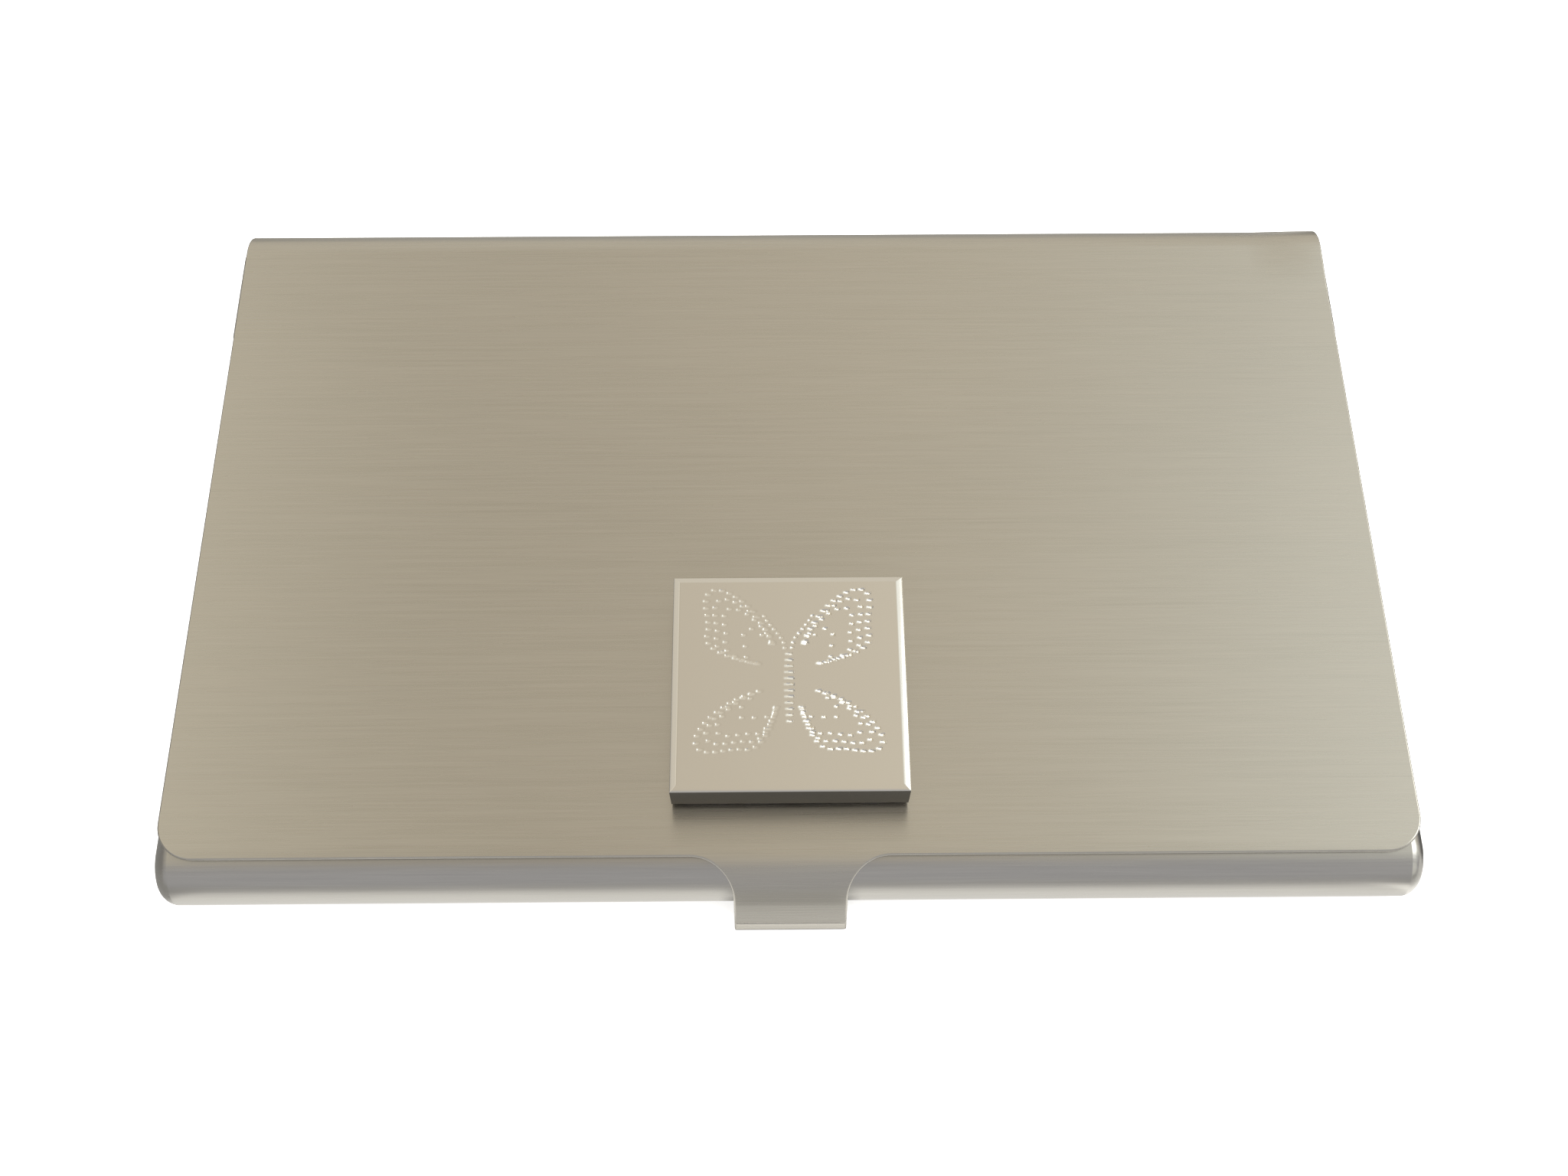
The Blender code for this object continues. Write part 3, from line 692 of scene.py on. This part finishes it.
def build_glue():
    """Cured glue: a thin pad whose rim bulges and wanders a little."""
    half = (GLUE_HIGH.x - GLUE_LOW.x) / 2
    centre_y = (GLUE_LOW.y + GLUE_HIGH.y) / 2
    outline = []
    for quarter, (sx, sy) in enumerate(((1, 1), (-1, 1), (-1, -1), (1, -1))):
        centre = (sx * (half - GLUE_CORNER_RADIUS), sy * (half - GLUE_CORNER_RADIUS))
        outline += arc(centre, GLUE_CORNER_RADIUS, quarter * 90, quarter * 90 + 90, 10)
    ring = spaced(outline + outline[:1], 0.3 * MM)
    bm = bmesh.new()
    bulge = ((0.0, 0.12), (0.12, 0.03), (0.5, 0.0), (0.88, 0.03), (1.0, 0.12))
    rings = []
    for share, inset in bulge:
        z = GLUE_LOW.z + (GLUE_HIGH.z - GLUE_LOW.z) * share
        verts = []
        for k, (x, y) in enumerate(ring):
            angle = 2 * pi * k / len(ring)
            wander = 0.06 * sin(7 * angle + 1.0) + 0.05 * sin(17 * angle) + 0.03 * sin(31 * angle)
            keep = 1.0 - (inset + GLUE_INSET - wander) * MM / half
            verts.append(bm.verts.new((x * keep, centre_y + y * keep, z)))
        rings.append(verts)
    for low, high in zip(rings, rings[1:]):
        for k in range(len(low)):
            n = (k + 1) % len(low)
            bm.faces.new((low[k], low[n], high[n], high[k]))
    bm.faces.new(list(reversed(rings[0])))
    bm.faces.new(rings[-1])
    glue = link("glue_pad", mesh_from(bm, "glue_pad"))
    return finish_shading(glue, 60.0)


# ---------------------------------------------------------------- materials

class Nodes:
    """Adds and joins the nodes of one shader tree."""

    def __init__(self, tree):
        self.tree = tree

    def add(self, kind, **settings):
        node = self.tree.nodes.new(kind)
        for key, value in settings.items():
            setattr(node, key, value)
        return node

    def join(self, output, target):
        self.tree.links.new(output, target)

    def math(self, operation, a, b=0.0):
        node = self.add("ShaderNodeMath", operation=operation)
        for socket, value in zip(node.inputs, (a, b)):
            if isinstance(value, (int, float)):
                socket.default_value = value
            else:
                self.join(value, socket)
        return node.outputs["Value"]

    def axes(self, vector):
        """A vector's X, Y and Z."""
        split = self.add("ShaderNodeSeparateXYZ")
        self.join(vector, split.inputs["Vector"])
        return [split.outputs[axis] for axis in "XYZ"]


class Finish(Nodes):
    """A material's nodes, round its Principled BSDF."""

    def __init__(self, name):
        self.material = bpy.data.materials.new(name)
        self.material.use_nodes = True
        super().__init__(self.material.node_tree)
        self.shader = self.tree.nodes["Principled BSDF"]

    def set(self, **values):
        """Fix inputs of the shader; an underscore in a name stands for a space."""
        for name, value in values.items():
            self.shader.inputs[name.replace("_", " ")].default_value = value

    def drive(self, name, output):
        """Let nodes drive an input of the shader."""
        self.join(output, self.shader.inputs[name])

    def position(self, scale=(1.0, 1.0, 1.0)):
        """Object position, stretched by scale, in 1/m."""
        coords = self.add("ShaderNodeTexCoord")
        mapping = self.add("ShaderNodeMapping")
        mapping.inputs["Scale"].default_value = scale
        self.join(coords.outputs["Object"], mapping.inputs["Vector"])
        return mapping.outputs["Vector"]

    def noise(self, scale, detail=2.0, roughness=0.5):
        texture = self.add("ShaderNodeTexNoise")
        texture.inputs["Scale"].default_value = 1.0
        texture.inputs["Detail"].default_value = detail
        texture.inputs["Roughness"].default_value = roughness
        self.join(self.position(scale), texture.inputs["Vector"])
        return texture.outputs["Fac"]

    def remap(self, value, low, high, out_low, out_high):
        node = self.add("ShaderNodeMapRange")
        self.join(value, node.inputs["Value"])
        limits = {"From Min": low, "From Max": high, "To Min": out_low, "To Max": out_high}
        for key, number in limits.items():
            node.inputs[key].default_value = number
        return node.outputs["Result"]

    def vary(self, noise, low, high):
        """Noise, which mostly lies between 0.3 and 0.7, spread from low to high."""
        return self.remap(noise, 0.3, 0.7, low, high)

    def tint(self, colour, factor):
        """A colour multiplied by a grey factor."""
        node = self.add("ShaderNodeVectorMath", operation="SCALE")
        node.inputs[0].default_value = colour
        self.join(factor, node.inputs["Scale"])
        return node.outputs["Vector"]

    def bump(self, height, distance, strength=1.0):
        node = self.add("ShaderNodeBump")
        node.inputs["Distance"].default_value = distance
        node.inputs["Strength"].default_value = strength
        self.join(height, node.inputs["Height"])
        self.drive("Normal", node.outputs["Normal"])


def brushed_steel(name, colour, roughness, grain, painted_shade_y=None):
    """Steel brushed along X: fine and coarse grain lines, odd scratches, faint cloudiness.

    Behind the y given as its last argument the base colour is painted a little darker, fading in over
    0.8 mm in front of it: painted shade where the lid's front edge overhangs the tray.
    """
    n = Finish(name)
    fine = n.noise((220.0, 14000.0, 14000.0), 3.0, 0.65)
    coarse = n.noise((75.0, 4200.0, 4200.0), 2.0, 0.6)
    cloud = n.noise((38.0, 60.0, 60.0))
    scratches = n.remap(n.noise((55.0, 5200.0, 5200.0), 1.0, 0.3), 0.66, 0.74, 0.0, 1.0)
    mark = n.math("MULTIPLY", scratches, 0.03)
    height = n.math("ADD", n.math("MULTIPLY", fine, 0.5), n.math("MULTIPLY", coarse, 0.5))
    height = n.math("SUBTRACT", height, mark)
    dark, light = 1.0 - 0.5 * grain, 1.0 + 0.5 * grain
    shade = n.math("MULTIPLY", n.vary(fine, dark, light), n.vary(coarse, dark, light))
    shade = n.math("MULTIPLY", shade, n.vary(cloud, 0.985, 1.015))
    shade = n.math("SUBTRACT", shade, mark)
    # Painted shade: behind the given y, under the lid's front edge, the base colour is darkened to
    # 0.88 of its shade.
    if painted_shade_y is not None:
        y = n.axes(n.position())[1]
        painted_shade = n.remap(y, painted_shade_y - 0.8 * MM, painted_shade_y, 1.0, 0.88)
        shade = n.math("MULTIPLY", shade, painted_shade)
    n.set(Metallic=1.0, Anisotropic=0.75, Anisotropic_Rotation=0.25)
    n.drive("Base Color", n.tint(colour, shade))
    n.drive("Roughness", n.remap(coarse, 0.25, 0.75, roughness - 0.03, roughness + 0.03))
    along = n.add("ShaderNodeCombineXYZ")
    along.inputs["X"].default_value = 1.0
    n.drive("Tangent", along.outputs["Vector"])
    n.bump(height, 0.003 * MM)
    return n.material


def polished_silver(name):
    """Bright plated metal: frosted where the face is etched, much darker and rougher on the sides
    below the chamfer.
    """
    n = Finish(name)
    etch = n.add("ShaderNodeAttribute", attribute_name="etch").outputs["Fac"]
    z = n.axes(n.position())[2]
    rim = TILE_HIGH.z - TILE_CHAMFER_DROP - 0.05 * MM
    side = n.remap(z, rim - 0.06 * MM, rim, 1.0, 0.0)
    haze = n.noise((300.0, 300.0, 300.0))
    shade = n.math("MULTIPLY", n.remap(etch, 0.0, 1.0, 1.0, 1.1), n.remap(side, 0.0, 1.0, 1.0, 0.22))
    rough = n.math("ADD", n.vary(haze, 0.1, 0.15), n.math("MULTIPLY", etch, 0.15))
    rough = n.math("ADD", rough, n.math("MULTIPLY", side, 0.3))
    sawn = n.noise((9000.0, 9000.0, 2500.0), 2.0, 0.6)
    n.set(Metallic=1.0)
    n.drive("Base Color", n.tint((0.87, 0.84, 0.775), shade))
    n.drive("Roughness", rough)
    n.bump(n.math("MULTIPLY", sawn, n.math("MAXIMUM", etch, side)), 0.01 * MM, 0.6)
    return n.material


def turned_steel(name):
    """Rivet metal: fine rings round the hinge axis."""
    n = Finish(name)
    _, y, z = n.axes(n.position())
    off_y = n.math("SUBTRACT", y, HINGE.y)
    off_z = n.math("SUBTRACT", z, HINGE.z)
    square = n.math("ADD", n.math("MULTIPLY", off_y, off_y), n.math("MULTIPLY", off_z, off_z))
    rings = n.math("SINE", n.math("MULTIPLY", n.math("SQRT", square), 60000.0))
    grit = n.noise((4000.0, 4000.0, 4000.0))
    n.set(Metallic=1.0, Roughness=0.26)
    n.drive("Base Color", n.tint((0.60, 0.59, 0.56), n.vary(grit, 0.94, 1.06)))
    n.bump(n.math("ADD", n.math("MULTIPLY", rings, 0.3), grit), 0.003 * MM)
    return n.material


def glue_and_gap_shade(name):
    """Glue with a matt, slightly lumpy skin. Its near-black colour is partly the glue's own and
    partly painted shade for the gap under the tile's front edge.
    """
    n = Finish(name)
    lumps = n.noise((1500.0, 1500.0, 1500.0), 3.0, 0.6)
    # Near-black base colour: the glue's own, and also painted shade in the gap under the tile's front
    # edge.
    n.drive("Base Color", n.tint((0.03, 0.028, 0.025), n.vary(lumps, 0.7, 1.4)))
    n.drive("Roughness", n.vary(lumps, 0.4, 0.65))
    n.bump(lumps, 0.04 * MM)
    return n.material


def dress(piece, material, body, node):
    """Give a piece its finish and its body, and hide the CAD node it stands for."""
    piece.data.materials.clear()
    piece.data.materials.append(material)
    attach(piece, body)
    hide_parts(node)


# ---------------------------------------------------------------- floor, light and camera

def mirrored_floor(n):
    """How light the floor looks in the metal: grey, with lighter strips close to the case.

    The tab's face looks down on the floor steeply and its lip less so, so the light under the tab
    depends on how steeply a mirrored ray comes down.
    """
    x, y, _ = n.axes(n.position())
    steepness = n.axes(n.add("ShaderNodeNewGeometry").outputs["Incoming"])[2]

    def band(value, rise, fall):
        """1 between two edges of a strip, each fading over its own (from, to) in mm."""
        risen = n.remap(value, rise[0] * MM, rise[1] * MM, 0.0, 1.0)
        return n.math("MULTIPLY", risen, n.remap(value, fall[0] * MM, fall[1] * MM, 1.0, 0.0))

    tab_edge = TAB_WIDTH / 2
    by_tab = n.remap(n.math("ABSOLUTE", x), tab_edge, tab_edge + 1.2 * MM, 1.0, 0.0)
    off_tab = n.math("SUBTRACT", 1.0, by_tab)
    along_front = n.math("MULTIPLY", band(y, (-50.0, -35.0), (-28.0, -26.0)), off_tab)
    along_front = n.math("MULTIPLY", along_front, n.remap(x, -49.0 * MM, -47.0 * MM, 0.0, 1.0))
    under_tab = n.math("MULTIPLY", band(y, (-35.2, -34.2), (-33.8, -32.0)), by_tab)
    tab_level = n.remap(steepness, 0.5, 0.7, 1.1, 0.34)
    beside = band(x, (47.0, 47.5), (49.5, 50.5))
    dark_right = band(x, (50.5, 53.0), (70.0, 90.0))
    grey = n.remap(x, -55.0 * MM, -47.0 * MM, 0.32, 0.42)
    strips = ((along_front, 0.53), (under_tab, tab_level), (beside, 0.4), (dark_right, -0.27))
    for strip, level in strips:
        grey = n.math("ADD", grey, n.math("MULTIPLY", strip, level))
    glow = n.add("ShaderNodeEmission")
    n.join(n.tint((1.0, 0.99, 0.97), grey), glow.inputs["Color"])
    return glow.outputs["Emission"]


def build_floor():
    """White paper, with its own look in the metal."""
    bm = bmesh.new()
    bmesh.ops.create_grid(bm, x_segments=1, y_segments=1, size=FLOOR_HALF)
    floor = link("floor", mesh_from(bm, "floor"))
    floor.location.z = -FLOOR_DROP
    n = Finish("floor_paper")
    fibres = n.noise((900.0, 900.0, 900.0), 3.0, 0.6)
    n.drive("Base Color", n.tint((0.93, 0.93, 0.93), n.vary(fibres, 0.995, 1.005)))
    n.set(Roughness=0.9, Specular_IOR_Level=0.1)
    n.set(Emission_Color=(1.0, 1.0, 1.0, 1.0), Emission_Strength=FLOOR_LIFT)
    path = n.add("ShaderNodeLightPath")
    mix = n.add("ShaderNodeMixShader")
    n.join(path.outputs["Is Glossy Ray"], mix.inputs["Fac"])
    n.join(n.shader.outputs["BSDF"], mix.inputs[1])
    n.join(mirrored_floor(n), mix.inputs[2])
    n.join(mix.outputs["Shader"], n.tree.nodes["Material Output"].inputs["Surface"])
    floor.data.materials.append(n.material)


def direction(azimuth_deg, elevation_deg):
    """Unit vector; azimuth 0 is -Y, towards the front, and 90 is +X."""
    a, e = radians(azimuth_deg), radians(elevation_deg)
    return Vector((sin(a) * cos(e), -cos(a) * cos(e), sin(e)))


class Sky(Nodes):
    """The room as soft bands and patches of light on a dome."""

    def __init__(self):
        world = bpy.data.worlds.new("room")
        bpy.context.scene.world = world
        world.use_nodes = True
        super().__init__(world.node_tree)
        coords = self.add("ShaderNodeTexCoord")
        normal = self.add("ShaderNodeVectorMath", operation="NORMALIZE")
        self.join(coords.outputs["Generated"], normal.inputs[0])
        self.aim = normal.outputs["Vector"]
        self.x, self.y, self.z = self.axes(self.aim)
        self.colour = None

    def fade(self, value, low, high):
        """Smooth step of a value from 0 at low to 1 at high."""
        node = self.add("ShaderNodeMapRange", interpolation_type="SMOOTHSTEP")
        node.inputs["From Min"].default_value = low
        node.inputs["From Max"].default_value = high
        self.join(value, node.inputs["Value"])
        return node.outputs["Result"]

    def across(self, stops):
        """Colours from left to right overhead, at x / z of the direction."""
        reach = 0.6
        slope = self.math("DIVIDE", self.x, self.math("MAXIMUM", self.z, 0.05))
        share = self.math("ADD", self.math("MULTIPLY", slope, 0.5 / reach), 0.5)
        ramp = self.add("ShaderNodeValToRGB")
        self.join(share, ramp.inputs["Fac"])
        elements = ramp.color_ramp.elements
        while len(elements) < len(stops):
            elements.new(0.5)
        for element, (place, _) in zip(elements, stops):
            element.position = 0.5 + 0.5 * place / reach
        for element, (_, colour) in zip(elements, stops):
            element.color = (*colour, 1.0)
        self.colour = ramp.outputs["Color"]

    def lay(self, factor, colour):
        """Mix a colour in by a factor."""
        mix = self.add("ShaderNodeMix", data_type="RGBA")
        self.join(factor, mix.inputs[0])
        self.join(self.colour, mix.inputs[6])
        mix.inputs[7].default_value = (*colour, 1.0)
        self.colour = mix.outputs[2]

    def round_from_front(self):
        """Degrees from the front horizon (0) over the zenith (90) to the rear horizon (180)."""
        forward = self.math("MULTIPLY", self.y, -1.0)
        return self.math("MULTIPLY", self.math("ARCTAN2", self.z, forward), degrees(1.0))

    def patch(self, towards, inner_deg, outer_deg, colour):
        """Mix a colour in round a direction, whole inside inner_deg and gone at outer_deg."""
        dot = self.add("ShaderNodeVectorMath", operation="DOT_PRODUCT")
        dot.inputs[1].default_value = towards
        self.join(self.aim, dot.inputs[0])
        edge = (cos(radians(outer_deg)), cos(radians(inner_deg)))
        self.lay(self.fade(dot.outputs["Value"], *edge), colour)

    def finish(self):
        """Send the colour out, with plain white wherever the camera looks past the floor."""
        path = self.add("ShaderNodeLightPath")
        self.lay(path.outputs["Is Camera Ray"], (1.0, 1.0, 1.0))
        self.join(self.colour, self.tree.nodes["Background"].inputs["Color"])


def build_sky():
    """Overhead light that shades from left to right, with the room's walls and windows round it."""
    sky = Sky()
    rear_wall = (0.66, 0.62, 0.545)
    sky.across((
        (-0.60, rear_wall),
        (-0.50, (0.85, 0.80, 0.69)),
        (-0.38, (0.775, 0.73, 0.63)),
        (-0.30, (0.593, 0.551, 0.468)),
        (-0.20, (0.52, 0.473, 0.395)),
        (-0.05, (0.582, 0.53, 0.447)),
        (0.12, (0.65, 0.60, 0.51)),
        (0.22, (0.69, 0.665, 0.595)),
        (0.31, (0.75, 0.75, 0.70)),
        (0.36, (0.86, 0.87, 0.82)),
        (0.42, (0.95, 0.96, 0.92)),
    ))
    front_wall = (0.43, 0.43, 0.45)
    left_wall = (0.30, 0.29, 0.28)
    front_window = (0.75, 0.75, 0.72)
    right_window = (2.8, 2.87, 2.87)
    round_deg = sky.round_from_front()
    sky.lay(sky.fade(round_deg, 124.0, 142.0), rear_wall)
    sky.lay(sky.fade(round_deg, 70.0, 57.0), front_wall)
    sky.patch(direction(-95, 0), 25, 48, left_wall)
    sky.patch(direction(50, 14), 9, 20, front_window)
    sky.patch(direction(100, 40), 17.0, 19.5, right_window)
    sky.finish()


def build_lights():
    """One broad overhead panel that lights the paper and isn't seen in the metal."""
    lamp = bpy.data.lights.new("panel", "AREA")
    lamp.shape = "DISK"
    lamp.size = 0.7
    lamp.energy = 6.0
    panel = bpy.data.objects.new("panel", lamp)
    bpy.context.scene.collection.objects.link(panel)
    panel.location = (0.12, 0.1, 0.75)
    panel.rotation_euler = (panel.location * -1).to_track_quat("-Z", "Y").to_euler()
    panel.visible_glossy = False


def build_camera():
    """Above and in front of the case, looking down at it."""
    data = bpy.data.cameras.new("camera")
    data.sensor_width = 36.0
    data.lens = CAMERA_LENS
    data.clip_start = 0.01
    camera = bpy.data.objects.new("camera", data)
    bpy.context.scene.collection.objects.link(camera)
    yaw = Matrix.Rotation(radians(CAMERA_YAW_DEG), 4, "Z")
    pitch = Matrix.Rotation(radians(90.0 - CAMERA_PITCH_DEG), 4, "X")
    roll = Matrix.Rotation(radians(CAMERA_ROLL_DEG), 4, "Z")
    camera.matrix_world = Matrix.Translation(CAMERA_PLACE) @ yaw @ pitch @ roll
    bpy.context.scene.camera = camera


# ---------------------------------------------------------------- the scene

lid_front_y = TRAY_LOW.y + LID_SETBACK
lid_steel = brushed_steel("lid_steel_brushed", (0.66, 0.63, 0.56), 0.28, 0.05)
# The tray's painted shade starts at the lid's front edge.
tray_steel = brushed_steel("tray_steel_brushed", (0.66, 0.64, 0.59), 0.25, 0.05, lid_front_y)
lifter_steel = brushed_steel("lifter_steel_rolled", (0.62, 0.61, 0.59), 0.27, 0.06)
rivet_steel = turned_steel("rivet_steel_turned")

dress(build_tray(), tray_steel, "tray", "base_tray")
dress(build_lid(), lid_steel, "lid_body", "lid")
dress(build_lifter(), lifter_steel, "lifter", "card_lifter")
for name, side in (("rivet_left", -1), ("rivet_right", 1)):
    dress(build_rivet(name, side), rivet_steel, "tray", f"hinge_{name}")
dress(build_tile(), polished_silver("tile_silver_polished"), "lid_body", "pendant_tile")
dress(build_glue(), glue_and_gap_shade("glue_and_painted_gap_shade"), "lid_body", "adhesive_pad")

build_floor()
build_sky()
build_lights()
build_camera()
bpy.context.scene.view_settings.view_transform = "Standard"
